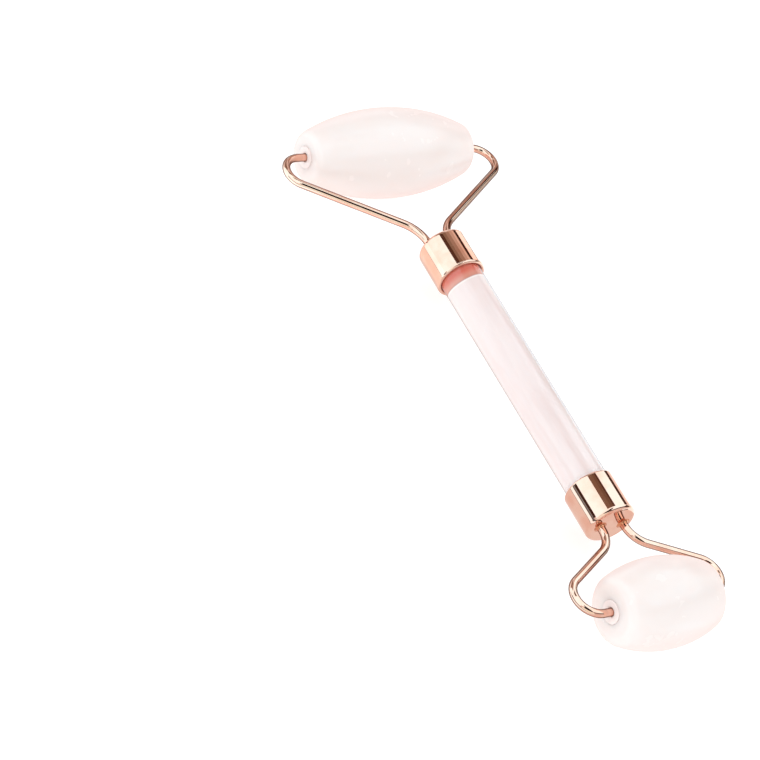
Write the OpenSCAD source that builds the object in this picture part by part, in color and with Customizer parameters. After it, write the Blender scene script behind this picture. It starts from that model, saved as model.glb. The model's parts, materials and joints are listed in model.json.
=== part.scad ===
// Two-ended stone face roller.
// A stone rod handle lies along X. Each end is bonded into a drawn metal cap.
// Two bent wire arms leave each cap and hook round into plastic bushes in the
// ends of a barrel-shaped stone roller, which spins about an axis along Y.
// The large roller is at +X and the small one at -X. "Left" is +Y, "right" is -Y.
// Origin: on the handle's axis, midway along the stone that shows between the caps.
// Units: millimetres.

/* [Handle rod] */
// Diameter of the stone rod
rod_d = 9.6; // [9:0.1:10.4]
// Length of rod that shows between the two cap mouths
rod_show = 59.5; // [50:0.5:75]
// How far the rod goes into each cap
rod_in = 6.0; // [5:0.1:6.6]
// Chamfer on the rod's two hidden ends
rod_chamfer = 0.4; // [0.2:0.05:0.8]

/* [Caps] */
// Outside diameter of each cap
cap_d = 11.5; // [11.3:0.1:12.5]
// Length of each cap from mouth to closed end
cap_len = 10.3; // [9.8:0.1:12]
// Thickness of the closed end
cap_end_t = 1.2; // [0.8:0.1:1.5]
// Thickness of the bonding film between rod and cap
bond_film = 0.15; // [0.08:0.01:0.2]
// Rounding of the closed end's edge
cap_end_round = 1.0; // [0.4:0.1:1.3]
// Rounding of the mouth's outer edge
lip_round = 0.5; // [0.2:0.05:0.55]
// Countersink inside the mouth
lip_sink = 0.2; // [0.1:0.05:0.25]
// How far the bond stops short of the mouth
bond_setback = 0.45; // [0.3:0.05:1]

/* [Wire arms] */
// Diameter of the wire
wire_d = 1.8; // [1.6:0.1:2.0]
// Distance of each stem from the handle's axis
stem_y = 3.0; // [2.7:0.1:3.2]
// How far each stem reaches past the cap's end wall inside
stem_in = 2.4; // [1.8:0.1:2.6]
// Clearance round the wire in the cap's holes, filled by braze
braze_gap = 0.1; // [0.05:0.01:0.15]
// Foot radius of the braze fillet on the cap
braze_r = 1.5; // [1.3:0.05:1.55]
// Height of the braze fillet outside the cap
braze_h = 0.6; // [0.3:0.05:0.6]
// How far each wire's pin end reaches into its bush
pin_in = 6.8; // [5:0.1:7.2]

/* [Large fork] */
// Distance from the origin to the large roller's axis
large_x = 69.3; // [68:0.1:76]
// Knee corner beyond the cap's closed end
large_knee = 4.85; // [4.8:0.05:6]
// Bend radius at the knee
large_knee_r = 8.0; // [6:0.1:8]
// Slope of the arm to the handle's axis, in degrees
large_slope = 55.3; // [53:0.1:56]
// Bend radius of the hook
large_hook_r = 4.5; // [4:0.1:4.7]

/* [Small fork] */
// Distance from the origin to the small roller's axis
small_x = 60.3; // [59.5:0.1:66]
// Knee corner beyond the cap's closed end
small_knee = 4.25; // [4.2:0.05:5.5]
// Bend radius at the knee
small_knee_r = 6.0; // [4.5:0.1:6]
// Slope of the arm to the handle's axis, in degrees
small_slope = 61.3; // [59:0.1:62]
// Bend radius of the hook
small_hook_r = 4.6; // [4:0.1:4.7]

/* [Rollers] */
// Large roller: greatest diameter
large_d = 20.9; // [19:0.1:23]
// Large roller: length between its end faces
large_len = 43.4; // [41:0.1:44]
// Large roller: radius of the long barrel curve
large_barrel_r = 50.6; // [46:0.2:70]
// Large roller: rounding where the barrel meets the end face
large_edge_r = 2.0; // [1:0.1:2.2]
// Small roller: greatest diameter
small_d = 19.3; // [18:0.1:21]
// Small roller: length between its end faces
small_len = 25.2; // [24:0.1:26]
// Small roller: radius of the long barrel curve
small_barrel_r = 29.0; // [27:0.2:40]
// Small roller: rounding where the barrel meets the end face
small_edge_r = 2.4; // [1:0.1:2.6]

/* [Bushes] */
// Outside diameter of each bush's sleeve
bush_d = 3.8; // [3.4:0.1:4.2]
// Length of the sleeve behind the flange
bush_len = 7.6; // [7.6:0.1:8.4]
// Diameter of the flange
flange_d = 5.0; // [4.6:0.1:5.4]
// Thickness of the flange
flange_t = 0.5; // [0.4:0.05:0.7]
// How far the flange stands out of the stone
flange_proud = 0.15; // [0.05:0.05:0.2]
// Running clearance on the radius between wire and bush
run_gap = 0.06; // [0.03:0.01:0.09]

/* [Hidden] */
$fn = 96;
rod_r = rod_d / 2;
cap_r = cap_d / 2;
bore_r = rod_r + bond_film;
wire_r = wire_d / 2;
mouth_x = rod_show / 2;            // mouth of each cap
end_x = mouth_x + cap_len;         // outside of the closed end
wall_x = end_x - cap_end_t;        // inside of the closed end
rod_end_x = mouth_x + rod_in;
hole_r = wire_r + braze_gap;
bend_swell = 0.01;                 // the bends' extra radius
run_in = 0.1;                      // how far a straight runs into a bend

quartz = [0.96, 0.87, 0.85];
rose_gold = [0.85, 0.57, 0.47];
braze_c = [0.80, 0.50, 0.38];
nylon_c = [0.95, 0.93, 0.90];
bond_c = [0.87, 0.55, 0.52];

// ---- helpers -------------------------------------------------------------

// Puts a shape drawn along +Z onto the +X axis, starting at x
module along_x(x) translate([x, 0, 0]) rotate([0, 90, 0]) children();

// Puts a shape drawn along +Z onto a line parallel to +Y through x, starting at y
module along_y(x, y) translate([x, y, 0]) rotate([-90, 0, 0]) children();

// Everything at the small end is drawn at the large end and turned over
module at_end(small) { if (small) mirror([1, 0, 0]) children(); else children(); }

module on_side(right) { if (right) mirror([0, 1, 0]) children(); else children(); }

module rod_shape() {
  c = rod_chamfer;
  along_x(-rod_end_x + c) cylinder(r = rod_r, h = 2 * (rod_end_x - c));
  along_x(-rod_end_x) cylinder(r1 = rod_r - c, r2 = rod_r, h = c);
  along_x(rod_end_x - c) cylinder(r1 = rod_r, r2 = rod_r - c, h = c);
}

// Half-section of a cap: radius across, distance from the mouth upwards
module cap_section() {
  e = cap_end_round;
  l = lip_round;
  difference() {
    union() {
      translate([0, l]) square([cap_r, cap_len - e - l]);
      square([cap_r - l, l]);
      translate([cap_r - l, l]) intersection() { circle(r = l); translate([0, -l]) square([l, l]); }
      translate([0, cap_len - e]) square([cap_r - e, e]);
      translate([cap_r - e, cap_len - e]) intersection() { circle(r = e); square([e, e]); }
    }
    translate([-1, -1]) square([bore_r + 1, cap_len - cap_end_t + 1]);
    polygon([[bore_r - 0.1, -0.1], [bore_r + lip_sink + 0.1, -0.1], [bore_r - 0.1, lip_sink + 0.1]]);
  }
}

module cap_shape() {
  difference() {
    along_x(mouth_x) rotate_extrude() cap_section();
    for (s = [-1, 1]) translate([wall_x - 1, s * stem_y, 0]) rotate([0, 90, 0]) cylinder(r = hole_r, h = cap_end_t + 2);
  }
}

// A straight length of wire along +X, run a little way into the bends at its ends; children start where it ends
module straight(l, before, after) {
  translate([-before, 0, 0]) rotate([0, 90, 0]) cylinder(r = wire_r, h = l + before + after);
  translate([l, 0, 0]) children();
}

// A bend to the left of radius r through angle a, a hair thicker than the straights; children carry on where it ends
module bend(r, a) translate([0, r, 0]) rotate([0, 0, -90]) {
  rotate_extrude(angle = a) translate([r, 0]) circle(r = wire_r + bend_swell);
  rotate([0, 0, a]) translate([r, 0, 0]) rotate([0, 0, 90]) children();
}

// One bent wire in the XY plane: stem along +X, knee, arm at the given slope, hook, pin along -Y
module wire_shape(axis_x, knee, knee_r, slope, hook_r, tip_y) {
  knee_x = end_x + knee;
  from_x = wall_x - stem_in;
  hook_y = stem_y + (axis_x - knee_x) * tan(slope);    // where the arm and pin lines would meet
  kt = knee_r * tan(slope / 2);
  ht = hook_r * tan((slope + 90) / 2);
  tip_c = 0.25;
  translate([from_x, stem_y, 0])
    straight(knee_x - kt - from_x, 0, run_in)
      bend(knee_r, slope)
        straight((axis_x - knee_x) / cos(slope) - kt - ht, run_in, run_in)
          mirror([0, 1, 0]) bend(hook_r, slope + 90)
            straight(hook_y - ht - tip_y - tip_c, run_in, 0)
              rotate([0, 90, 0]) cylinder(r1 = wire_r, r2 = wire_r - tip_c, h = tip_c);
}

module large_wire() wire_shape(large_x, large_knee, large_knee_r, large_slope, large_hook_r,
                               large_len / 2 + flange_proud - pin_in);
module small_wire() wire_shape(small_x, small_knee, small_knee_r, small_slope, small_hook_r,
                               small_len / 2 + flange_proud - pin_in);
module wire_of(small) { if (small) small_wire(); else large_wire(); }

// Braze round one stem: a fillet outside, a film through the wall, a bead inside
module braze_solid() {
  translate([end_x, stem_y, 0]) rotate([0, 90, 0]) rotate_extrude()
    polygon([[0, -cap_end_t - 0.5], [braze_r - 0.35, -cap_end_t - 0.5], [braze_r - 0.1, -cap_end_t],
             [hole_r, -cap_end_t], [hole_r, 0], [braze_r, 0], [braze_r - 0.15, 0.12],
             [wire_r + 0.12, braze_h], [0, braze_h]]);
}

module braze_shape(small) {
  difference() {
    braze_solid();
    wire_of(small);
  }
}

// Bond inside one cap: a film round the rod and a plug behind it that holds the stems
module bond_shape(small) {
  difference() {
    along_x(mouth_x + bond_setback) cylinder(r = bore_r, h = wall_x - mouth_x - bond_setback);
    rod_shape();
    for (r = [false, true]) on_side(r) {
      translate([wall_x - stem_in, stem_y, 0]) rotate([0, 90, 0]) cylinder(r = wire_r, h = stem_in + 1);
      translate([end_x, stem_y, 0]) rotate([0, 90, 0]) rotate_extrude()
        polygon([[0, -cap_end_t - 0.5], [braze_r - 0.35, -cap_end_t - 0.5], [braze_r - 0.1, -cap_end_t], [0, -cap_end_t]]);
    }
  }
}

// Half-section of a barrel with rounded shoulders and flat ends
module barrel_section(d, len, barrel_r, edge_r) {
  r = d / 2;
  h = len / 2;
  cr = r - barrel_r;                                   // centre of the long curve
  fy = h - edge_r;                                     // centre of the shoulder curve
  fr = cr + sqrt(pow(barrel_r - edge_r, 2) - pow(fy, 2));
  a = atan2(fy, fr - cr);
  ty = barrel_r * sin(a);                              // where the two curves meet
  intersection() {
    translate([cr, 0]) circle(r = barrel_r, $fn = 720);
    translate([0, -ty]) square([r + 1, 2 * ty]);
  }
  for (m = [0, 1]) mirror([0, m]) intersection() {
    union() {
      translate([fr, fy]) circle(r = edge_r);
      translate([0, ty - 0.5]) square([fr, h - ty + 0.5]);
    }
    translate([0, ty]) square([r + 1, h - ty]);
  }
}

module roller_shape(x, d, len, barrel_r, edge_r) {
  difference() {
    translate([x, 0, 0]) rotate([-90, 0, 0]) rotate_extrude() barrel_section(d, len, barrel_r, edge_r);
    for (r = [false, true]) on_side(r) {
      sink = flange_t - flange_proud;
      along_y(x, len / 2 - sink) cylinder(r = flange_d / 2, h = sink + 1);
      along_y(x, len / 2 - sink - bush_len) cylinder(r = bush_d / 2, h = bush_len + 0.1);
    }
  }
}

// A flanged blind bush: closed inner end, small lead-in at the mouth
module bush_shape(x, len) {
  face = len / 2 + flange_proud;
  bore = wire_r + run_gap;
  back = flange_t + bush_len;
  along_y(x, face - back) rotate_extrude()
    polygon([[0, 0], [bush_d / 2, 0], [bush_d / 2, bush_len], [flange_d / 2, bush_len],
             [flange_d / 2, back - 0.1], [flange_d / 2 - 0.1, back], [bore + 0.2, back], [bore, back - 0.2],
             [bore, back - pin_in - 0.4], [0, back - pin_in - 0.4]]);
}

// ---- pieces --------------------------------------------------------------

module handle_rod() color(quartz) rod_shape();

module large_cap() color(rose_gold) at_end(false) cap_shape();
module small_cap() color(rose_gold) at_end(true) cap_shape();

module large_cap_bond() color(bond_c) at_end(false) bond_shape(false);
module small_cap_bond() color(bond_c) at_end(true) bond_shape(true);

module large_left_arm() color(rose_gold) at_end(false) on_side(false) large_wire();
module large_right_arm() color(rose_gold) at_end(false) on_side(true) large_wire();
module small_left_arm() color(rose_gold) at_end(true) on_side(false) small_wire();
module small_right_arm() color(rose_gold) at_end(true) on_side(true) small_wire();

module large_left_braze() color(braze_c) at_end(false) on_side(false) braze_shape(false);
module large_right_braze() color(braze_c) at_end(false) on_side(true) braze_shape(false);
module small_left_braze() color(braze_c) at_end(true) on_side(false) braze_shape(true);
module small_right_braze() color(braze_c) at_end(true) on_side(true) braze_shape(true);

module large_roller() color(quartz) roller_shape(large_x, large_d, large_len, large_barrel_r, large_edge_r);
module small_roller() color(quartz) roller_shape(-small_x, small_d, small_len, small_barrel_r, small_edge_r);

module large_left_bush() color(nylon_c) on_side(false) bush_shape(large_x, large_len);
module large_right_bush() color(nylon_c) on_side(true) bush_shape(large_x, large_len);
module small_left_bush() color(nylon_c) on_side(false) bush_shape(-small_x, small_len);
module small_right_bush() color(nylon_c) on_side(true) bush_shape(-small_x, small_len);

handle_rod();
large_cap();
small_cap();
large_cap_bond();
small_cap_bond();
large_left_arm();
large_right_arm();
small_left_arm();
small_right_arm();
large_left_braze();
large_right_braze();
small_left_braze();
small_right_braze();
large_roller();
small_roller();
large_left_bush();
large_right_bush();
small_left_bush();
small_right_bush();
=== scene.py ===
import bpy, bmesh, json, math
import numpy as np
from mathutils import Vector, Matrix


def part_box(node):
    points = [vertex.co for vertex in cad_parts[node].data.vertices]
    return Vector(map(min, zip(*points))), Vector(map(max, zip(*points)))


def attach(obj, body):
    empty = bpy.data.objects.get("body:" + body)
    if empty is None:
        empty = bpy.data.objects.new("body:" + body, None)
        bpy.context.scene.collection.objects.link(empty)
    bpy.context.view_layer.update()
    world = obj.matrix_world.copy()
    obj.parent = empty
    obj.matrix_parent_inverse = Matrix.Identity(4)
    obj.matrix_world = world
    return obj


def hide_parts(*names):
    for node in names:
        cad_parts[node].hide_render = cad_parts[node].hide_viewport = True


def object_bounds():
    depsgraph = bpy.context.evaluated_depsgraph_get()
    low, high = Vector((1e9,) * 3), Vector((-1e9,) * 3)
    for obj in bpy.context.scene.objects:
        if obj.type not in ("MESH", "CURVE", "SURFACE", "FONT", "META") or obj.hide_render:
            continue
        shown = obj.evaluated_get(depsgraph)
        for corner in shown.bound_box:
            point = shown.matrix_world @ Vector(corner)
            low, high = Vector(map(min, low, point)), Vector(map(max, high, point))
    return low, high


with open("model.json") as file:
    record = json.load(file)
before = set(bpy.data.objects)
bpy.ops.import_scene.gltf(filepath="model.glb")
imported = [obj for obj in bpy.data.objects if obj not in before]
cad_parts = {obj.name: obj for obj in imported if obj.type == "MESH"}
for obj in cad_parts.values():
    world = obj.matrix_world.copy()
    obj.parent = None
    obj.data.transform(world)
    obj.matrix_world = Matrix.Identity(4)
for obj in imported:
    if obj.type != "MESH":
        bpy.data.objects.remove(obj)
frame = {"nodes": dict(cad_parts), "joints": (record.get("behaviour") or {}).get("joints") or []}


def plain(b):
    return [list(map(float, b[0])), list(map(float, b[1]))]


CAD_BOX = plain(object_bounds())
NODES = frame["nodes"]
MM = 0.001
JOINT = {j["name"]: j["pos_m"] for j in frame["joints"]}

# ---------------------------------------------------------------- sizes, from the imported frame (metres)
rod_lo, rod_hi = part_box("handle_rod")
cap_lo, cap_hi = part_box("large_cap")
bush_lo, bush_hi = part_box("large_left_bush")
stone_lo, stone_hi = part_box("large_roller")
small_lo, small_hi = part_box("small_roller")
arm_lo, arm_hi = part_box("large_left_arm")
braze_lo, braze_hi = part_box("large_left_braze")

ROD_R = rod_hi.y
ROD_END = rod_hi.x
MOUTH = cap_lo.x
CAP_END = cap_hi.x
CAP_R = cap_hi.y
CAP_LEN = CAP_END - MOUTH
CAP_WALL = 1.2 * MM
BORE_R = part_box("large_cap_bond")[1].z
STEM_IN = arm_lo.x
STEM_Y = 0.5 * (braze_lo.y + braze_hi.y)
WIRE_R = 0.9 * MM
LARGE_X = JOINT["large_stone_spin"][0]
SMALL_X = -JOINT["small_stone_spin"][0]
FLANGE_R = bush_hi.z
FACE_LARGE = bush_hi.y
FACE_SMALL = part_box("small_left_bush")[1].y
PROUD = 0.15 * MM
PIN_IN = 6.8 * MM


# ---------------------------------------------------------------- mesh helpers
def new_mesh(name, verts, faces, smooth=True, sharp=None):
    me = bpy.data.meshes.new(name)
    me.from_pydata([tuple(map(float, v)) for v in verts], [], faces)
    me.validate()
    me.update()
    bm = bmesh.new()
    bm.from_mesh(me)
    bmesh.ops.remove_doubles(bm, verts=bm.verts, dist=1e-8)
    bmesh.ops.recalc_face_normals(bm, faces=bm.faces)
    bm.to_mesh(me)
    bm.free()
    if smooth:
        me.polygons.foreach_set("use_smooth", [True] * len(me.polygons))
    if sharp is not None:
        me.set_sharp_from_angle(angle=math.radians(sharp))
    o = bpy.data.objects.new(name, me)
    bpy.context.scene.collection.objects.link(o)
    return o


def lathe(name, profile, axis, origin=(0, 0, 0), seg=192, sharp=28, flip=False):
    """profile: (radius, distance along axis) in metres. Points at radius 0 become poles. axis 'X' or 'Y'."""
    verts, rings = [], []
    s = -1.0 if flip else 1.0
    for r, a in profile:
        if r < 1e-9:
            rings.append([len(verts)])
            verts.append((0.0, a))
        else:
            start = len(verts)
            rings.append(list(range(start, start + seg)))
            for k in range(seg):
                t = 2 * math.pi * k / seg
                verts.append((r, a, t))
    out = []
    for v in verts:
        if len(v) == 2:
            r, a, t = 0.0, v[1], 0.0
        else:
            r, a, t = v
        c, d = r * math.cos(t), r * math.sin(t)
        if axis == "X":
            p = (s * a, c, d)
        else:
            p = (c, s * a, d)
        out.append((p[0] + origin[0], p[1] + origin[1], p[2] + origin[2]))
    faces = []
    for A, B in zip(rings[:-1], rings[1:]):
        if len(A) == 1 and len(B) == 1:
            continue
        for k in range(seg):
            n = (k + 1) % seg
            if len(A) == 1:
                faces.append((A[0], B[k], B[n]))
            elif len(B) == 1:
                faces.append((A[k], A[n], B[0]))
            else:
                faces.append((A[k], A[n], B[n], B[k]))
    return new_mesh(name, out, faces, sharp=sharp)


def arc(cx, cy, r, a0, a1, n):
    return [(cx + r * math.cos(math.radians(a0 + (a1 - a0) * i / n)), cy + r * math.sin(math.radians(a0 + (a1 - a0) * i / n))) for i in range(n + 1)]


def wire_path(axis_x, knee, knee_r, slope, hook_r, tip_y):
    """Centre line of one left-hand arm at the +X end, with its tangent directions, in metres."""
    s = math.radians(slope)
    knee_x = CAP_END + knee
    hook_y = STEM_Y + (axis_x - knee_x) * math.tan(s)
    kt = knee_r * math.tan(s / 2)
    ht = hook_r * math.tan((s + math.pi / 2) / 2)
    pts = []

    def line(x0, y0, x1, y1, n):
        d = math.atan2(y1 - y0, x1 - x0)
        for i in range(n):
            t = i / n
            pts.append((x0 + (x1 - x0) * t, y0 + (y1 - y0) * t, d))

    line(STEM_IN, STEM_Y, knee_x - kt, STEM_Y, 6)
    n = 26
    for i in range(n):
        a = s * i / n
        pts.append((knee_x - kt + knee_r * math.sin(a), STEM_Y + knee_r * (1 - math.cos(a)), a))
    ax0, ay0 = knee_x + kt * math.cos(s), STEM_Y + kt * math.sin(s)
    ax1, ay1 = axis_x - ht * math.cos(s), hook_y - ht * math.sin(s)
    line(ax0, ay0, ax1, ay1, 14)
    n = 64
    cx, cy = axis_x - hook_r, hook_y - ht
    total = s + math.pi / 2
    for i in range(n):
        a = total - total * i / n
        pts.append((cx + hook_r * math.cos(a), cy + hook_r * math.sin(a), a - math.pi / 2))
    line(axis_x, cy, axis_x, tip_y + 0.25 * MM, 8)
    pts.append((axis_x, tip_y + 0.25 * MM, -math.pi / 2))
    return pts


def sweep_wire(name, path, r, tip_y, sx=1, sy=1, seg=64):
    verts, rings = [], []

    def ring(x, y, d, rr):
        start = len(verts)
        nx, ny = -math.sin(d), math.cos(d)
        for k in range(seg):
            t = 2 * math.pi * k / seg
            verts.append(((x + rr * math.cos(t) * nx) * sx, (y + rr * math.cos(t) * ny) * sy, rr * math.sin(t)))
        rings.append(list(range(start, start + seg)))

    x0, y0, d0 = path[0]
    ring(x0, y0, d0, r - 0.12 * MM)
    ring(x0 + 0.12 * MM, y0, d0, r)
    for x, y, d in path[1:]:
        ring(x, y, d, r)
    x, y, d = path[-1]
    ring(x, y - 0.13 * MM, d, r - 0.07 * MM)
    ring(x, tip_y, d, r - 0.25 * MM)
    faces = []
    for A, B in zip(rings[:-1], rings[1:]):
        for k in range(seg):
            n = (k + 1) % seg
            faces.append((A[k], A[n], B[n], B[k]))
    faces.append(tuple(reversed(rings[0])))
    faces.append(tuple(rings[-1]))
    return new_mesh(name, verts, faces, sharp=32)


def barrel_profile(r, h, barrel_r, edge_r, sink, flange_r, sleeve_r, sleeve_len):
    """Closed outline of a bored barrel from its inner floor at -Y to its inner floor at +Y."""
    cr = r - barrel_r
    fy = h - edge_r
    fr = cr + math.sqrt((barrel_r - edge_r) ** 2 - fy ** 2)
    a = math.degrees(math.atan2(fy, fr - cr))
    e = 0.02 * MM
    side = [(0, h - sink - sleeve_len), (sleeve_r, h - sink - sleeve_len), (sleeve_r, h - sink), (flange_r, h - sink), (flange_r, h - e), (flange_r + 0.3 * e, h - 0.3 * e), (flange_r + e, h)]
    side += [(flange_r + e + (fr - flange_r - e) * t, h) for t in (0.35, 0.7)]
    side += list(reversed(arc(fr, fy, edge_r, a, 90, 26)))
    body = arc(cr, 0, barrel_r, a, -a, 120)[1:-1]
    return side + body + [(p, -q) for p, q in reversed(side)]


# ---------------------------------------------------------------- nodes for materials
class NT:
    def __init__(self, mat):
        mat.use_nodes = True
        self.t = mat.node_tree
        self.t.nodes.clear()

    def n(self, kind, **kw):
        node = self.t.nodes.new(kind)
        for k, v in kw.items():
            if k.startswith("in_"):
                node.inputs[k[3:].replace("_", " ")].default_value = v
            else:
                setattr(node, k, v)
        return node

    def link(self, a, b):
        self.t.links.new(a, b)

    def math(self, op, a, b=None, c=None, clamp=False):
        m = self.t.nodes.new("ShaderNodeMath")
        m.operation = op
        m.use_clamp = clamp
        for i, v in enumerate((a, b, c)):
            if v is None:
                continue
            if isinstance(v, (int, float)):
                m.inputs[i].default_value = v
            else:
                self.link(v, m.inputs[i])
        return m.outputs[0]

    def vmath(self, op, a, b=None, scale=None):
        m = self.t.nodes.new("ShaderNodeVectorMath")
        m.operation = op
        for i, v in enumerate((a, b)):
            if v is None:
                continue
            if isinstance(v, (tuple, list)):
                m.inputs[i].default_value = v
            else:
                self.link(v, m.inputs[i])
        if scale is not None:
            if isinstance(scale, (int, float)):
                m.inputs["Scale"].default_value = scale
            else:
                self.link(scale, m.inputs["Scale"])
        return m

    def mixc(self, fac, a, b, blend="MIX"):
        m = self.t.nodes.new("ShaderNodeMix")
        m.data_type = "RGBA"
        m.blend_type = blend
        m.clamp_factor = True
        for sock, v in ((m.inputs[0], fac), (m.inputs[6], a), (m.inputs[7], b)):
            if isinstance(v, (int, float)):
                sock.default_value = v
            elif isinstance(v, (tuple, list)):
                sock.default_value = tuple(v) + ((1.0,) if len(v) == 3 else ())
            else:
                self.link(v, sock)
        return m.outputs[2]

    def ramp(self, fac, stops, interp="LINEAR"):
        r = self.t.nodes.new("ShaderNodeValToRGB")
        r.color_ramp.interpolation = interp
        els = r.color_ramp.elements
        while len(els) > 1:
            els.remove(els[-1])
        els[0].position = stops[0][0]
        els[0].color = tuple(stops[0][1]) + (1.0,)
        for pos, col in stops[1:]:
            e = els.new(pos)
            e.color = tuple(col) + (1.0,)
        self.link(fac, r.inputs[0])
        return r.outputs[0]

    def noise(self, vec, scale, detail=4.0, rough=0.55, distort=0.0, out="Fac"):
        nd = self.t.nodes.new("ShaderNodeTexNoise")
        nd.inputs["Scale"].default_value = scale
        nd.inputs["Detail"].default_value = detail
        nd.inputs["Roughness"].default_value = rough
        nd.inputs["Distortion"].default_value = distort
        self.link(vec, nd.inputs["Vector"])
        return nd.outputs[out]

    def smooth(self, v, lo, hi, a=0.0, b=1.0):
        m = self.t.nodes.new("ShaderNodeMapRange")
        m.interpolation_type = "SMOOTHSTEP"
        m.inputs["From Min"].default_value = lo
        m.inputs["From Max"].default_value = hi
        m.inputs["To Min"].default_value = a
        m.inputs["To Max"].default_value = b
        self.link(v, m.inputs["Value"])
        return m.outputs["Result"]

    def scaled(self, vec, sx, sy, sz, loc=(0, 0, 0)):
        m = self.t.nodes.new("ShaderNodeMapping")
        m.inputs["Scale"].default_value = (sx, sy, sz)
        m.inputs["Location"].default_value = loc
        self.link(vec, m.inputs["Vector"])
        return m.outputs[0]


def lin(r, g, b):
    f = lambda c: (c / 255 / 12.92) if c / 255 <= 0.04045 else (((c / 255) + 0.055) / 1.055) ** 2.4
    return (f(r), f(g), f(b))


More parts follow.
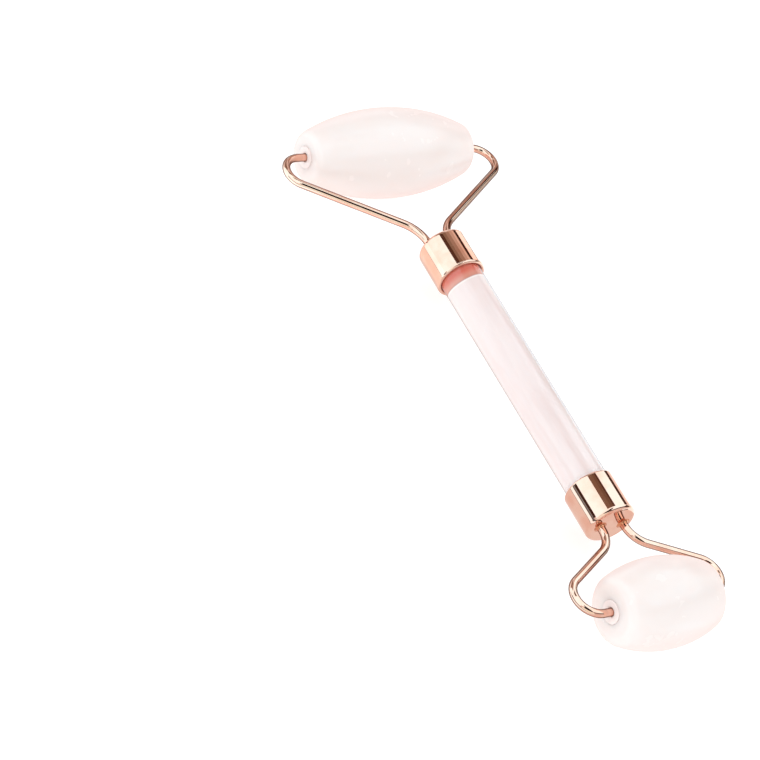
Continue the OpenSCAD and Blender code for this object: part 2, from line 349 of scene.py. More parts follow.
def quartz_material(name, rod=False, seed=0.0):
    mat = bpy.data.materials.new(name)
    g = NT(mat)
    out = g.n("ShaderNodeOutputMaterial")
    b = g.n("ShaderNodeBsdfPrincipled")
    # painted edge shade: towards the silhouette the surface is blended into a flat diffuse of this colour, pale pink on
    # the rollers and a darker grey-pink outline on the rod
    lw = g.n("ShaderNodeLayerWeight")
    lw.inputs["Blend"].default_value = 0.5
    painted_rim_shade = g.n("ShaderNodeBsdfDiffuse")
    painted_rim_shade.inputs["Color"].default_value = lin(*((172, 154, 151) if rod else (247, 230, 226))) + (1.0,)
    painted_rim_mix = g.n("ShaderNodeMixShader")
    g.link(g.smooth(lw.outputs["Facing"], 0.64 if rod else 0.30, 0.88 if rod else 0.80, 0.0, 0.60 if rod else 0.93), painted_rim_mix.inputs[0])
    g.link(b.outputs[0], painted_rim_mix.inputs[1])
    g.link(painted_rim_shade.outputs[0], painted_rim_mix.inputs[2])
    g.link(painted_rim_mix.outputs[0], out.inputs["Surface"])
    tc = g.n("ShaderNodeTexCoord")
    P = tc.outputs["Object"]
    geo = g.n("ShaderNodeNewGeometry")
    # the view ray bent into the stone, in object space, so that inner marks sit below the surface
    neg = g.vmath("SCALE", geo.outputs["Incoming"], scale=-1.0).outputs[0]
    refr = g.vmath("REFRACT", neg, geo.outputs["Normal"])
    refr.inputs["Scale"].default_value = 1 / 1.544
    tr = g.n("ShaderNodeVectorTransform", vector_type="VECTOR", convert_from="WORLD", convert_to="OBJECT")
    g.link(refr.outputs[0], tr.inputs[0])
    T = tr.outputs[0]

    def below(mm):
        return g.vmath("ADD", P, g.vmath("SCALE", T, scale=mm * MM).outputs[0]).outputs[0]

    p1, p2 = below(1.2), below(3.4)
    if rod:
        c1 = g.noise(g.scaled(p1, 38, 320, 320, (seed, 0, 0)), 1.0, 6, 0.6, 0.6)
        c2 = g.noise(g.scaled(p2, 22, 210, 210, (seed + 3, 0, 0)), 1.0, 3, 0.5, 0.8)
        fine = g.noise(g.scaled(p1, 90, 900, 900, (seed + 7, 0, 0)), 1.0, 4, 0.6, 0.4)
    else:
        c1 = g.noise(g.scaled(p1, 95, 70, 95, (seed, 0, 0)), 1.0, 5, 0.55, 0.5)
        c2 = g.noise(g.scaled(p2, 60, 42, 60, (seed + 3, 0, 0)), 1.0, 3, 0.5, 0.9)
        fine = g.noise(g.scaled(p1, 420, 330, 420, (seed + 7, 0, 0)), 1.0, 4, 0.6, 0.4)
    pale = lin(253, 239, 237)
    mid = lin(252, 236, 233)
    deep = lin(251, 232, 228)
    if rod:
        pale, mid, deep = lin(243, 232, 231), lin(239, 226, 225), lin(231, 214, 212)
    cloud = g.ramp(c1, [(0.30, deep), (0.48, mid), (0.66, pale)], "EASE")
    cloud2 = g.ramp(c2, [(0.34, mid), (0.60, pale)], "EASE")
    col = g.mixc(0.5, cloud, cloud2)
    # fine cotton-like wisps
    w = g.smooth(fine, 0.50, 0.80)
    col = g.mixc(g.math("MULTIPLY", w, 0.16 if rod else 0.05), col, lin(255, 246, 244))
    # hair-thin healed fractures
    vor = g.n("ShaderNodeTexVoronoi", feature="DISTANCE_TO_EDGE")
    vor.inputs["Scale"].default_value = 1.0
    warp = g.vmath("ADD", g.scaled(p1, *((60, 260, 260) if rod else (120, 95, 120)), loc=(seed + 11, 0, 0)),
                   g.vmath("SCALE", g.noise(g.scaled(p1, 200, 200, 200), 1.0, 3, 0.5, 0, "Color"), scale=0.9).outputs[0]).outputs[0]
    g.link(warp, vor.inputs["Vector"])
    crack = g.math("SUBTRACT", 1.0, g.smooth(vor.outputs["Distance"], 0.0, 0.05))
    gate = g.smooth(g.noise(g.scaled(p2, 70, 70, 70, (seed + 20, 0, 0)), 1.0, 2, 0.5), 0.52, 0.66)
    crack = g.math("MULTIPLY", g.math("MULTIPLY", crack, gate), 0.10 if rod else 0.012)
    col = g.mixc(crack, col, lin(255, 250, 248))
    if rod:
        # painted view through the stone: where the bent view ray leaves the far side of the rod inside a cap, the red
        # of the bond and the metal behind it is painted onto the stone's surface, standing in for refraction
        sp = g.n("ShaderNodeSeparateXYZ")
        g.link(P, sp.inputs[0])
        st = g.n("ShaderNodeSeparateXYZ")
        g.link(T, st.inputs[0])
        dot = g.math("ADD", g.math("MULTIPLY", sp.outputs[1], st.outputs[1]), g.math("MULTIPLY", sp.outputs[2], st.outputs[2]))
        sq = g.math("ADD", g.math("MULTIPLY", st.outputs[1], st.outputs[1]), g.math("MULTIPLY", st.outputs[2], st.outputs[2]))
        run = g.math("DIVIDE", g.math("MULTIPLY", dot, -2.0), g.math("MAXIMUM", sq, 1e-4))
        ex = g.math("ABSOLUTE", g.math("ADD", sp.outputs[0], g.math("MULTIPLY", run, st.outputs[0])))
        ey = g.math("ADD", sp.outputs[1], g.math("MULTIPLY", run, st.outputs[1]))
        ez = g.math("ADD", sp.outputs[2], g.math("MULTIPLY", run, st.outputs[2]))
        over = g.math("SUBTRACT", ex, MOUTH)            # metres past the mouth on the far side
        inside = g.smooth(over, -0.00005, 0.00018)
        far = g.n("ShaderNodeCombineXYZ")
        g.link(g.math("MULTIPLY", ex, 0.35), far.inputs[0])
        g.link(ey, far.inputs[1])
        g.link(ez, far.inputs[2])
        tone = g.noise(g.scaled(far.outputs[0], 330, 330, 330, (2.3, 0.4, 0)), 1.0, 2, 0.5, 0.3)
        band = g.ramp(tone, [(0.34, lin(190, 98, 74)), (0.46, lin(206, 124, 100)), (0.54, lin(218, 150, 130)), (0.66, lin(226, 170, 156))])
        deepen = g.smooth(over, 0.0003, 0.0024)
        band = g.mixc(g.math("MULTIPLY", deepen, 0.88), band, lin(216, 84, 52))
        # painted highlight: the rim of the far lip, painted as a thin bright line before the band; then painted shade,
        # a thin dark line where the gap at the mouth lies
        rim = g.math("MULTIPLY", g.smooth(over, -0.00055, -0.0003), g.math("SUBTRACT", 1.0, g.smooth(over, -0.00018, 0.0)))
        painted_gap_shade = g.math("MULTIPLY", g.smooth(over, -0.00012, 0.00002), g.math("SUBTRACT", 1.0, g.smooth(over, 0.00010, 0.00035)))
        col = g.mixc(g.math("MULTIPLY", inside, 0.92), col, band)
        col = g.mixc(g.math("MULTIPLY", rim, 0.65), col, lin(255, 246, 244))
        col = g.mixc(g.math("MULTIPLY", painted_gap_shade, 0.55), col, lin(188, 150, 144))
    g.link(col, b.inputs["Base Color"])
    b.inputs["Subsurface Weight"].default_value = 0.85
    b.inputs["Subsurface Radius"].default_value = (1.0, 0.90, 0.86)
    b.inputs["Subsurface Scale"].default_value = 0.0022
    b.inputs["IOR"].default_value = 1.544
    b.inputs["Specular IOR Level"].default_value = 0.5 if rod else 0.40
    # polish: faint waves and pits left from grinding
    pol = g.noise(g.scaled(P, *((140, 420, 420) if rod else (260, 260, 260)), loc=(seed, 4, 0)), 1.0, 3, 0.5)
    rough = g.smooth(pol, 0.3, 0.75, 0.12 if rod else 0.22, 0.20 if rod else 0.28)
    g.link(rough, b.inputs["Roughness"])
    pit = g.noise(P, 5200, 3, 0.6)
    h = g.math("ADD", g.math("MULTIPLY", pol, 0.8), g.math("MULTIPLY", pit, 0.06))
    bump = g.n("ShaderNodeBump")
    bump.inputs["Strength"].default_value = 0.18
    bump.inputs["Distance"].default_value = 0.00006
    g.link(h, bump.inputs["Height"])
    g.link(bump.outputs[0], b.inputs["Normal"])
    return mat


def metal_material(name, tint=(238, 190, 170), rough=0.055, along=(1, 1, 1), grime=0.0, rim=0.0, wavy=1.0):
    mat = bpy.data.materials.new(name)
    g = NT(mat)
    out = g.n("ShaderNodeOutputMaterial")
    b = g.n("ShaderNodeBsdfPrincipled")
    if rim:
        # painted edge shade: the wire is blended into a flat dark brown diffuse where it is seen edge-on, standing in
        # for the dark reflections along its edges
        lw = g.n("ShaderNodeLayerWeight")
        lw.inputs["Blend"].default_value = 0.5
        painted_edge_dark = g.n("ShaderNodeBsdfDiffuse")
        painted_edge_dark.inputs["Color"].default_value = lin(92, 50, 34) + (1.0,)
        ms = g.n("ShaderNodeMixShader")
        g.link(g.smooth(lw.outputs["Facing"], 0.36, 0.60, 0.0, rim), ms.inputs[0])
        g.link(b.outputs[0], ms.inputs[1])
        g.link(painted_edge_dark.outputs[0], ms.inputs[2])
        g.link(ms.outputs[0], out.inputs["Surface"])
    else:
        g.link(b.outputs[0], out.inputs["Surface"])
    P = g.n("ShaderNodeTexCoord").outputs["Object"]
    base = lin(*tint)
    warm = lin(tint[0] - 4, tint[1] - 14, tint[2] - 16)
    n1 = g.noise(P, 260, 3, 0.5, 0.3)
    col = g.mixc(g.smooth(n1, 0.35, 0.7), base, warm)
    if grime:
        col = g.mixc(g.math("MULTIPLY", g.smooth(g.noise(P, 900, 4, 0.6), 0.5, 0.72), grime), col, lin(120, 62, 42))
    g.link(col, b.inputs["Base Color"])
    b.inputs["Metallic"].default_value = 1.0
    # plating: very fine drawing marks along the part, and a scatter of dust-size pits
    marks = g.noise(g.scaled(P, *along), 1.0, 5, 0.7)
    dust = g.smooth(g.noise(P, 7800, 2, 0.5), 0.735, 0.80)
    r = g.math("ADD", g.smooth(marks, 0.3, 0.75, rough * 0.7, rough * 1.6), g.math("MULTIPLY", dust, 0.30))
    g.link(r, b.inputs["Roughness"])
    wave = g.noise(P, 420, 2, 0.4)
    h = g.math("ADD", g.math("MULTIPLY", wave, 1.0), g.math("MULTIPLY", marks, 0.035))
    bump = g.n("ShaderNodeBump")
    bump.inputs["Strength"].default_value = 0.10 * wavy
    bump.inputs["Distance"].default_value = 0.00004
    g.link(h, bump.inputs["Height"])
    g.link(bump.outputs[0], b.inputs["Normal"])
    return mat


def plastic_material(name):
    mat = bpy.data.materials.new(name)
    g = NT(mat)
    out = g.n("ShaderNodeOutputMaterial")
    b = g.n("ShaderNodeBsdfPrincipled")
    g.link(b.outputs[0], out.inputs["Surface"])
    P = g.n("ShaderNodeTexCoord").outputs["Object"]
    n1 = g.noise(P, 700, 3, 0.5)
    g.link(g.mixc(g.smooth(n1, 0.35, 0.7), lin(254, 240, 237), lin(252, 236, 233)), b.inputs["Base Color"])
    b.inputs["Subsurface Weight"].default_value = 0.12
    b.inputs["Subsurface Radius"].default_value = (1.0, 0.72, 0.66)
    b.inputs["Subsurface Scale"].default_value = 0.0003
    b.inputs["IOR"].default_value = 1.53
    g.link(g.smooth(g.noise(P, 3600, 4, 0.6), 0.3, 0.7, 0.34, 0.5), b.inputs["Roughness"])
    bump = g.n("ShaderNodeBump")
    bump.inputs["Strength"].default_value = 0.2
    bump.inputs["Distance"].default_value = 0.00002
    g.link(g.noise(P, 4200, 4, 0.6), bump.inputs["Height"])
    g.link(bump.outputs[0], b.inputs["Normal"])
    return mat


def bond_material(name):
    mat = bpy.data.materials.new(name)
    g = NT(mat)
    out = g.n("ShaderNodeOutputMaterial")
    b = g.n("ShaderNodeBsdfPrincipled")
    g.link(b.outputs[0], out.inputs["Surface"])
    P = g.n("ShaderNodeTexCoord").outputs["Object"]
    n1 = g.noise(P, 900, 4, 0.6, 0.4)
    g.link(g.mixc(g.smooth(n1, 0.3, 0.7), lin(150, 62, 46), lin(186, 92, 74)), b.inputs["Base Color"])
    b.inputs["Subsurface Weight"].default_value = 0.3
    b.inputs["Subsurface Scale"].default_value = 0.0006
    g.link(g.smooth(n1, 0.3, 0.7, 0.2, 0.45), b.inputs["Roughness"])
    bump = g.n("ShaderNodeBump")
    bump.inputs["Strength"].default_value = 0.35
    bump.inputs["Distance"].default_value = 0.00008
    g.link(g.noise(P, 1500, 4, 0.6), bump.inputs["Height"])
    g.link(bump.outputs[0], b.inputs["Normal"])
    return mat


def put(o, mat, body=None, replaces=()):
    o.data.materials.clear()
    o.data.materials.append(mat)
    if body:
        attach(o, body)
    if replaces:
        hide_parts(*replaces)
    return o


M_ROD = quartz_material("rose_quartz_rod", rod=True, seed=1.7)
M_BIG = quartz_material("rose_quartz_large", seed=5.1)
M_SMALL = quartz_material("rose_quartz_small", seed=9.4)
M_CAP = metal_material("rose_gold_cap", rough=0.045, along=(60, 2600, 2600), wavy=0.6)
M_WIRE = metal_material("rose_gold_wire", rough=0.028, along=(900, 900, 2600), rim=0.80, wavy=0.35)
M_BRAZE = metal_material("rose_gold_braze", tint=(214, 142, 108), rough=0.10, along=(1500, 1500, 1500), grime=0.5)
M_BUSH = plastic_material("bush_nylon")
M_BOND = bond_material("cap_bond")

# ---------------------------------------------------------------- handle rod
c = 0.4 * MM
e = 0.1 * MM
half = [(0, ROD_END), (ROD_R - c - e, ROD_END), (ROD_R - c, ROD_END - 0.3 * e), (ROD_R - 0.3 * e, ROD_END - c), (ROD_R, ROD_END - c - e)]
steps = [(ROD_R, x) for x in np.linspace(MOUTH, -MOUTH, 60)]
prof = half + steps + [(r, -x) for r, x in reversed(half)]
rod = lathe("stone_rod", prof, "X", seg=256)
put(rod, M_ROD, "handle", ["handle_rod"])


# ---------------------------------------------------------------- caps
def make_cap(name, sign, node):
    er, lr, sink = 1.0 * MM, 0.5 * MM, 0.2 * MM
    L = CAP_LEN
    wall = L - CAP_WALL
    p = [(0, wall), (BORE_R - 0.2 * MM, wall), (BORE_R, wall - 0.2 * MM)]
    p += [(BORE_R, wall - 0.2 * MM - (wall - 0.2 * MM - sink - 0.05 * MM) * t) for t in (0.5, 1.0)]
    p += [(BORE_R + 0.02 * MM, sink - 0.02 * MM), (BORE_R + sink - 0.03 * MM, 0.03 * MM), (BORE_R + sink + 0.02 * MM, 0)]
    p += [(q, w) for q, w in arc(CAP_R - lr, lr, lr, -90, 0, 18)]
    p += [(CAP_R, lr + (L - er - lr) * t) for t in (0.1, 0.3, 0.5, 0.7, 0.9)]
    p += arc(CAP_R - er, L - er, er, 0, 90, 24)
    p += [(4.35 * MM, L), (0, L)]
    p = [(q, w + MOUTH) for q, w in p]
    o = lathe(name, p, "X", seg=256, sharp=30, flip=(sign < 0))
    cuts = []
    for s in (1, -1):
        cyl = lathe(name + "_cut", [(0, CAP_END + MM), (WIRE_R + 0.1 * MM, CAP_END + MM), (WIRE_R + 0.1 * MM, MOUTH + 0.6 * CAP_LEN), (0, MOUTH + 0.6 * CAP_LEN)], "X", origin=(0, s * STEM_Y, 0), seg=72, flip=(sign < 0))
        cuts.append(cyl)
        m = o.modifiers.new("hole", "BOOLEAN")
        m.operation = "DIFFERENCE"
        m.solver = "EXACT"
        m.object = cyl
    bpy.context.view_layer.update()
    dg = bpy.context.evaluated_depsgraph_get()
    me = bpy.data.meshes.new_from_object(o.evaluated_get(dg))
    o.modifiers.clear()
    o.data = me
    for cyl in cuts:
        bpy.data.objects.remove(cyl)
    me.set_sharp_from_angle(angle=math.radians(30))
    w = o.modifiers.new("wn", "WEIGHTED_NORMAL")
    w.keep_sharp = True
    w.weight = 80
    put(o, M_CAP, "handle", [node])
    return o


make_cap("metal_cap_large", 1, "large_cap")
make_cap("metal_cap_small", -1, "small_cap")

# ---------------------------------------------------------------- wire arms
def make_arm(name, node, small, right):
    if small:
        tip = FACE_SMALL - PIN_IN
        path = wire_path(SMALL_X, 4.25 * MM, 6.0 * MM, 61.3, 4.6 * MM, tip)
    else:
        tip = FACE_LARGE - PIN_IN
        path = wire_path(LARGE_X, 4.85 * MM, 8.0 * MM, 55.3, 4.5 * MM, tip)
    o = sweep_wire(name, path, WIRE_R, tip, sx=-1 if small else 1, sy=-1 if right else 1)
    put(o, M_WIRE, "handle", [node])
    return o


make_arm("wire_arm_large_left", "large_left_arm", False, False)
make_arm("wire_arm_large_right", "large_right_arm", False, True)
make_arm("wire_arm_small_left", "small_left_arm", True, False)
make_arm("wire_arm_small_right", "small_right_arm", True, True)

# ---------------------------------------------------------------- braze fillets, concave and a little uneven
def make_braze(name, node, sign, s, seed):
    foot, top, h = 1.5 * MM, WIRE_R + 0.03 * MM, 0.6 * MM
    wr, hr, t = WIRE_R + 0.002 * MM, WIRE_R + 0.1 * MM, CAP_WALL
    outer = []
    n = 14
    for i in range(n + 1):
        a = math.radians(90 * i / n)
        # concave quarter from the foot on the cap up to the wire
        outer.append((foot - (foot - top) * math.sin(a), h * (1 - math.cos(a))))
    prof = [(wr, -t - 0.5 * MM), (1.15 * MM, -t - 0.5 * MM), (1.4 * MM, -t - 0.02 * MM), (hr, -t), (hr, -0.01 * MM), (foot - 0.02 * MM, 0.0)] + outer + [(wr, h)]
    prof = [(r, CAP_END + a) for r, a in prof]
    prof = prof + [prof[0]]
    o = lathe(name, prof, "X", origin=(0, s * STEM_Y, 0), seg=72, sharp=50, flip=(sign < 0))
    rng = np.random.default_rng(seed)
    ph = rng.uniform(0, 6.28, 4)
    am = rng.uniform(0.3, 1.0, 4)
    for v in o.data.vertices:
        d = Vector((0, v.co.y - s * STEM_Y, v.co.z))
        r = d.length
        out_x = sign * v.co.x - CAP_END
        if r > hr + 0.02 * MM and out_x > -0.02 * MM:
            a = math.atan2(d.z, d.y)
            wob = sum(am[k] * math.sin((k + 1) * a + ph[k]) for k in range(4)) / 4
            w = min(1.0, (r - hr) / (foot - hr))
            k = 1 + 0.07 * wob * w
            v.co.y = s * STEM_Y + d.y * k
            v.co.z = d.z * k
    put(o, M_BRAZE, "handle", [node])
    return o


make_braze("braze_large_left", "large_left_braze", 1, 1, 3)
make_braze("braze_large_right", "large_right_braze", 1, -1, 5)
make_braze("braze_small_left", "small_left_braze", -1, 1, 7)
make_braze("braze_small_right", "small_right_braze", -1, -1, 9)

# ---------------------------------------------------------------- stones and bushes
SINK = 0.35 * MM
big = lathe("barrel_stone_large", barrel_profile(stone_hi.z, FACE_LARGE - PROUD, 50.6 * MM, 2.0 * MM, SINK, FLANGE_R, 1.9 * MM, 7.6 * MM), "Y", origin=(LARGE_X, 0, 0), seg=288)
put(big, M_BIG, "large_stone", ["large_roller"])
small = lathe("barrel_stone_small", barrel_profile(small_hi.z, FACE_SMALL - PROUD, 29.0 * MM, 2.4 * MM, SINK, FLANGE_R, 1.9 * MM, 7.6 * MM), "Y", origin=(-SMALL_X, 0, 0), seg=288)
put(small, M_SMALL, "small_stone", ["small_roller"])


def make_bush(name, node, x, face, s, body):
    back = 8.1 * MM
    bore = WIRE_R + 0.06 * MM
    fl, sl = FLANGE_R, 1.9 * MM
    f = face
    p = [(0, f - back), (sl, f - back), (sl, f - 0.5 * MM), (fl - 0.004 * MM, f - 0.5 * MM), (fl - 0.004 * MM, f - 0.07 * MM)]
    p += [(fl - 0.004 * MM - 0.07 * MM * (1 - math.cos(math.radians(a))), f - 0.07 * MM + 0.07 * MM * math.sin(math.radians(a))) for a in (15, 30, 45, 60, 75, 90)]
    p += [(bore + 0.32 * MM, f), (bore + 0.2 * MM, f - 0.03 * MM), (bore + 0.06 * MM, f - 0.12 * MM), (bore, f - 0.26 * MM), (bore, f - 3.5 * MM), (bore, f - PIN_IN - 0.4 * MM), (0, f - PIN_IN - 0.4 * MM)]
    o = lathe(name, p, "Y", origin=(x, 0, 0), seg=96, flip=(s < 0))
    put(o, M_BUSH, body, [node])
    return o


make_bush("bush_large_left", "large_left_bush", LARGE_X, FACE_LARGE, 1, "large_stone")
make_bush("bush_large_right", "large_right_bush", LARGE_X, FACE_LARGE, -1, "large_stone")
make_bush("bush_small_left", "small_left_bush", -SMALL_X, FACE_SMALL, 1, "small_stone")
make_bush("bush_small_right", "small_right_bush", -SMALL_X, FACE_SMALL, -1, "small_stone")

for n in ("large_cap_bond", "small_cap_bond"):
    o = NODES[n]
    o.data.materials.clear()
    o.data.materials.append(M_BOND)

# ---------------------------------------------------------------- stage: floor, softbox and black flags seen only in reflections
FLOOR_Z = CAD_BOX[0][2]


def flat_material(name, col, strength=None, rough=0.6, lift=0.30):
    mat = bpy.data.materials.new(name)
    g = NT(mat)
    out = g.n("ShaderNodeOutputMaterial")
    if strength is None:
        b = g.n("ShaderNodeBsdfPrincipled")
        P = g.n("ShaderNodeTexCoord").outputs["Object"]
        n1 = g.noise(P, 8, 3, 0.5)
        g.link(g.mixc(g.smooth(n1, 0.3, 0.7), col, tuple(x * 0.995 for x in col)), b.inputs["Base Color"])
        b.inputs["Roughness"].default_value = rough
        b.inputs["Specular IOR Level"].default_value = 0.1
        b.inputs["Emission Color"].default_value = (1, 1, 1, 1)
        b.inputs["Emission Strength"].default_value = lift
        # in reflections only: painted pools of light to both sides, with one painted shaded corner and a painted dark
        # line along the inner edge of the +Y pool
        sp = g.n("ShaderNodeSeparateXYZ")
        g.link(P, sp.inputs[0])
        far = g.smooth(g.math("ABSOLUTE", sp.outputs[1]), 0.026, 0.031)
        lean = g.math("SUBTRACT", g.math("MULTIPLY", sp.outputs[1], 0.54), sp.outputs[0])
        shade = g.math("MULTIPLY", g.smooth(sp.outputs[1], 0.060, 0.068), g.smooth(lean, 0.004, 0.016))
        pool = g.math("MULTIPLY", g.smooth(sp.outputs[0], 0.018, 0.024), g.smooth(sp.outputs[1], 0.004, 0.009))
        level = g.math("ADD", g.math("ADD", 0.93, g.math("MULTIPLY", pool, 0.45)), g.math("MULTIPLY", far, 1.9))
        level = g.math("SUBTRACT", level, g.math("MULTIPLY", shade, 2.8))
        reflected_dark_line = g.math("MULTIPLY", g.smooth(sp.outputs[1], 0.0265, 0.0285), g.math("SUBTRACT", 1.0, g.smooth(sp.outputs[1], 0.0295, 0.0320)))
        level = g.math("SUBTRACT", level, g.math("MULTIPLY", reflected_dark_line, 1.5))
        em = g.n("ShaderNodeEmission")
        g.link(g.mixc(far, (1.0, 0.985, 0.965), (0.48, 0.67, 0.74)), em.inputs[0])
        g.link(g.math("MAXIMUM", level, 0.07), em.inputs[1])
        lp = g.n("ShaderNodeLightPath")
        mx = g.n("ShaderNodeMixShader")
        g.link(g.math("MULTIPLY", lp.outputs["Is Glossy Ray"], 0.9), mx.inputs[0])
        g.link(b.outputs[0], mx.inputs[1])
        g.link(em.outputs[0], mx.inputs[2])
        g.link(mx.outputs[0], out.inputs["Surface"])
    else:
        em = g.n("ShaderNodeEmission")
        em.inputs[0].default_value = tuple(col) + (1.0,)
        em.inputs[1].default_value = strength
        g.link(em.outputs[0], out.inputs["Surface"])
    return mat


bpy.ops.mesh.primitive_plane_add(size=6, location=(0, 0, FLOOR_Z))
floor = bpy.context.object
floor.name = "stage_floor"
floor.data.materials.append(flat_material("stage_paper", (0.80, 0.80, 0.80), lift=0.40))


def card(name, quad, col, strength):
    """quad: corner points. Seen only by reflections, so it shapes the light on the metal without shading anything."""
    me = bpy.data.meshes.new(name)
    me.from_pydata([tuple(p) for p in quad], [], [tuple(range(len(quad)))])
    o = bpy.data.objects.new(name, me)
    bpy.context.scene.collection.objects.link(o)
    me.materials.append(flat_material(name + "_m", col, strength))
    o.visible_camera = False
    o.visible_diffuse = False
    o.visible_shadow = False
    o.visible_transmission = False
    o.visible_volume_scatter = False
    return o


def on_ring(x, phi, rho):
    a = math.radians(phi)
    return (x, rho * math.cos(a), rho * math.sin(a))


def strip(name, rho, x0, lo0, hi0, x1, lo1, hi1, col, strength, n=6):
    """A curved strip at distance rho from the handle's axis, between angles lo and hi, which change along x."""
    verts, faces = [], []
    m = 12
    for i in range(n + 1):
        t = i / n
        x = x0 + (x1 - x0) * t
        lo, hi = lo0 + (lo1 - lo0) * t, hi0 + (hi1 - hi0) * t
        for j in range(m + 1):
            verts.append(on_ring(x, lo + (hi - lo) * j / m, rho))
    for i in range(n):
        for j in range(m):
            a = i * (m + 1) + j
            faces.append((a, a + 1, a + m + 2, a + m + 1))
    me = bpy.data.meshes.new(name)
    me.from_pydata(verts, [], faces)
    o = bpy.data.objects.new(name, me)
    bpy.context.scene.collection.objects.link(o)
    me.materials.append(flat_material(name + "_m", col, strength))
    for k in ("visible_camera", "visible_diffuse", "visible_shadow", "visible_transmission", "visible_volume_scatter"):
        setattr(o, k, False)
    return o


RHO = 0.30
DARK = (0.115, 0.062, 0.040)


def patch(name, corners, col, strength, rho=0.42, n=14):
    """A curved four-cornered card on a sphere round the part. corners: (azimuth, elevation) in degrees, in order."""
    verts, faces = [], []
    (a0, e0), (a1, e1), (a2, e2), (a3, e3) = corners
    for i in range(n + 1):
        for j in range(n + 1):
            u, v = i / n, j / n
            az = (a0 * (1 - u) + a1 * u) * (1 - v) + (a3 * (1 - u) + a2 * u) * v
            el = (e0 * (1 - u) + e1 * u) * (1 - v) + (e3 * (1 - u) + e2 * u) * v
            az, el = math.radians(az), math.radians(el)
            verts.append((rho * math.cos(el) * math.cos(az), rho * math.cos(el) * math.sin(az), rho * math.sin(el)))
    for i in range(n):
        for j in range(n):
            k = i * (n + 1) + j
            faces.append((k, k + 1, k + n + 2, k + n + 1))
    me = bpy.data.meshes.new(name)
    me.from_pydata(verts, [], faces)
    o = bpy.data.objects.new(name, me)
    bpy.context.scene.collection.objects.link(o)
    me.materials.append(flat_material(name + "_m", col, strength))
    for k in ("visible_camera", "visible_diffuse", "visible_shadow", "visible_transmission", "visible_volume_scatter"):
        setattr(o, k, False)
    return o


WHITE = (1.0, 0.99, 0.97)
CLEAN = (1.36, 1.86, 2.02)          # white once the rose-gold tint has been taken out, so thin dark lines beside it stay dark
CREAM = (1.12, 1.46, 1.42)
# cards the large cap reflects, then those the small cap reflects: (name, from angle, to angle, colour, strength)
for tag, x0, x1, cards in (
    ("large", 0.192, 0.255, (("a", 63.5, 79, DARK, 0.9), ("b", 79, 92, (0.36, 0.27, 0.20), 0.8), ("c", 92, 108, (0.46, 0.35, 0.28), 0.9),
                             ("d", 108, 123, (0.64, 0.52, 0.44), 1.0), ("e", 123, 132.5, (0.86, 0.74, 0.66), 1.0), ("f", 132.5, 146.5, DARK, 0.55), ("g", 146.5, 176, WHITE, 1.5))),
    ("small", 0.075, 0.140, (("a", -2, 9.5, DARK, 0.5), ("b", 66.5, 84, (0.34, 0.25, 0.18), 0.72), ("c", 84, 95, (0.27, 0.19, 0.13), 0.72), ("d", 95, 103.5, DARK, 1.0),
                             ("e", 103.5, 149, CLEAN, 1.0), ("f", 149, 165.5, DARK, 0.7), ("g", 165.5, 186, WHITE, 1.1))),
):
    for k, lo, hi, col, power in cards:
        strip("stage_" + tag + "_" + k, RHO, x0, lo, hi, x1, lo, hi, col, power)
strip("stage_soft_left_a", RHO, 0.14, -3, 63.5, 0.50, -3, 63.5, CLEAN, 1.0)
strip("stage_soft_left_b", RHO, -0.13, 9.5, 66.5, 0.14, 9.5, 66.5, CLEAN, 1.0)
# cards the wires and the stones reflect, at (azimuth, elevation)
for i in range(8):
    patch("stage_roof_%d" % i, [(-180 + 45 * i, 50), (-180 + 45 * i, 89.9), (-135 + 45 * i, 89.9), (-135 + 45 * i, 50)], CLEAN, 1.0)
patch("stage_wing_a", [(-33, 34), (-33, 50), (-55, 50), (-55, 39.5)], CLEAN, 1.0)
patch("stage_wing_b", [(-55, 39.5), (-55, 50), (-80, 50), (-80, 34)], CLEAN, 1.0)
patch("stage_wing_c", [(-80, 34), (-80, 50), (-107, 50), (-107, 31)], CLEAN, 1.0)
patch("stage_wing_d", [(-107, 31), (-107, 50), (-150, 50), (-150, 46)], CLEAN, 1.0)
patch("stage_wing_e", [(-150, 46), (-150, 50), (-190, 50), (-190, 46)], CLEAN, 1.0)
patch("stage_edge_a", [(-95, 14), (-95, 33), (-107, 31), (-107, 10)], DARK, 0.5)
patch("stage_edge_b", [(-107, 10), (-107, 31), (-128, 38), (-128, 18)], DARK, 0.5)
patch("stage_soft_edge", [(-96, -3), (-96, 8), (-124, 10), (-124, -3)], CREAM, 1.0)
patch("stage_edge_c", [(-128, 22), (-128, 38), (-150, 46), (-150, 32)], DARK, 0.5)
patch("stage_edge_d", [(-150, 32), (-150, 46), (-192, 46), (-192, 31)], DARK, 0.4)
patch("stage_flag_front_a", [(-40, 14), (-40, 35), (-56, 39), (-56, 20)], DARK, 0.12)
patch("stage_flag_front_b", [(-56, 20), (-56, 39), (-78, 32), (-78, 18)], DARK, 0.15)
patch("stage_soft_front", [(-78, -3), (-78, 22), (-94, 22), (-94, -3)], CREAM, 1.0)
patch("stage_flag_dark_a", [(-18, 18), (-18, 33), (-33, 35.5), (-33, 18)], (0.62, 0.42, 0.33), 0.9)
patch("stage_flag_dark_b", [(-33, 6), (-33, 41), (-41, 41), (-41, 6)], (0.58, 0.45, 0.42), 0.9, rho=0.415)
patch("stage_soft_right", [(-32, -3), (-32, 18), (-8, 18), (-8, -3)], CLEAN, 1.0)
patch("stage_flag_right", [(-51, 0), (-51, 25), (-66, 31), (-66, 0)], DARK, 0.7)
patch("stage_flag_back_a", [(128, 34), (128, 82), (176, 82), (164, 34)], DARK, 0.12, rho=0.415)
patch("stage_soft_back", [(120, -3), (120, 34), (166, 34), (166, -3)], CREAM, 1.0)
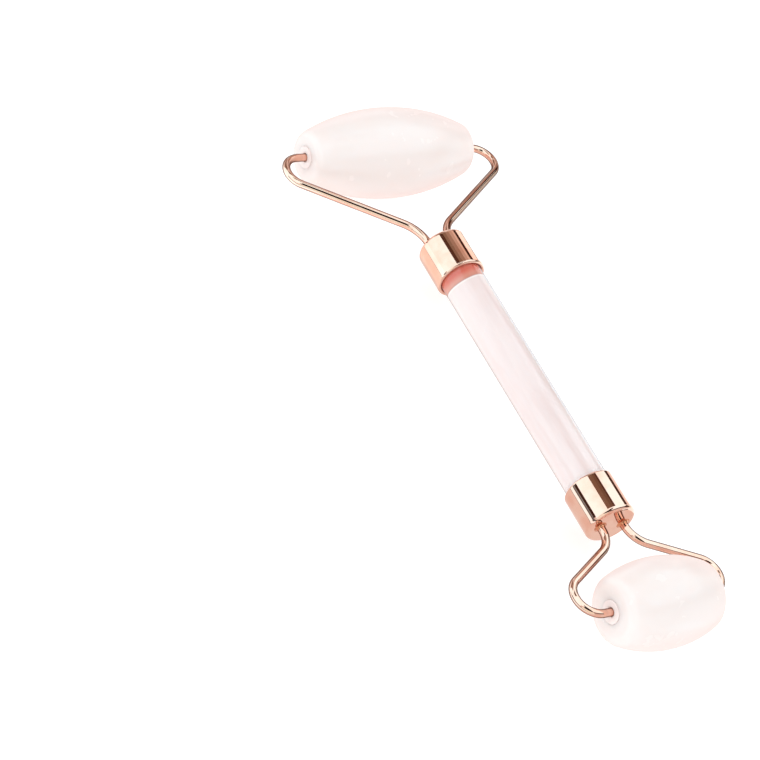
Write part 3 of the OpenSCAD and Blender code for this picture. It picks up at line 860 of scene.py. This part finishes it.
patch("stage_flag_far", [(-8, 18), (-8, 44), (28, 44), (28, 18)], (0.34, 0.25, 0.19), 0.8)
patch("stage_flag_left", [(92, 24), (92, 46), (118, 46), (118, 24)], (0.30, 0.21, 0.16), 0.7)

world = bpy.data.worlds.new("studio")
bpy.context.scene.world = world
world.use_nodes = True
wn = world.node_tree
wn.nodes.clear()
wo = wn.nodes.new("ShaderNodeOutputWorld")
bg = wn.nodes.new("ShaderNodeBackground")
bg.inputs[0].default_value = (1.0, 0.995, 0.99, 1)
lp = wn.nodes.new("ShaderNodeLightPath")
mr = wn.nodes.new("ShaderNodeMapRange")
mr.inputs["To Min"].default_value = 0.97
mr.inputs["To Max"].default_value = 0.84
wn.links.new(lp.outputs["Is Glossy Ray"], mr.inputs["Value"])
wn.links.new(mr.outputs["Result"], bg.inputs[1])
wn.links.new(bg.outputs[0], wo.inputs[0])


def area(name, loc, target, size, power, col=(1, 1, 1), glossy=False):
    li = bpy.data.lights.new(name, "AREA")
    li.shape = "RECTANGLE"
    li.size, li.size_y = size
    li.energy = power
    li.color = col
    o = bpy.data.objects.new(name, li)
    bpy.context.scene.collection.objects.link(o)
    o.location = loc
    d = Vector(target) - Vector(loc)
    o.rotation_euler = d.to_track_quat("-Z", "Y").to_euler()
    o.visible_glossy = glossy
    return o


area("key", (0.15, 0.50, 0.55), (0, 0, 0), (0.6, 0.6), 0.44)
area("fill", (-0.1, -0.6, 0.5), (0, 0, 0), (0.7, 0.7), 0.42)

# ---------------------------------------------------------------- camera, at the same viewing angle as the reference
cam_d = bpy.data.cameras.new("camera")
cam = bpy.data.objects.new("camera", cam_d)
bpy.context.scene.collection.objects.link(cam)
rot = Matrix(((-0.4283528, 0.7499831, -0.5040231), (-0.8251735, -0.0973533, 0.556427), (0.3682425, 0.6542536, 0.6605677)))
cam.matrix_world = Matrix.Translation((-0.259335, 0.326266, 0.345822)) @ rot.to_4x4()
cam_d.sensor_width = 36
cam_d.lens = 119.147
cam_d.clip_start = 0.01
cam_d.clip_end = 20
bpy.context.scene.camera = cam

sc = bpy.context.scene
sc.view_settings.view_transform = "Standard"
sc.view_settings.look = "None"
sc.view_settings.exposure = 0.0
sc.cycles.use_denoising = True
sc.cycles.max_bounces = 14
sc.cycles.glossy_bounces = 8
sc.cycles.sample_clamp_indirect = 1.6
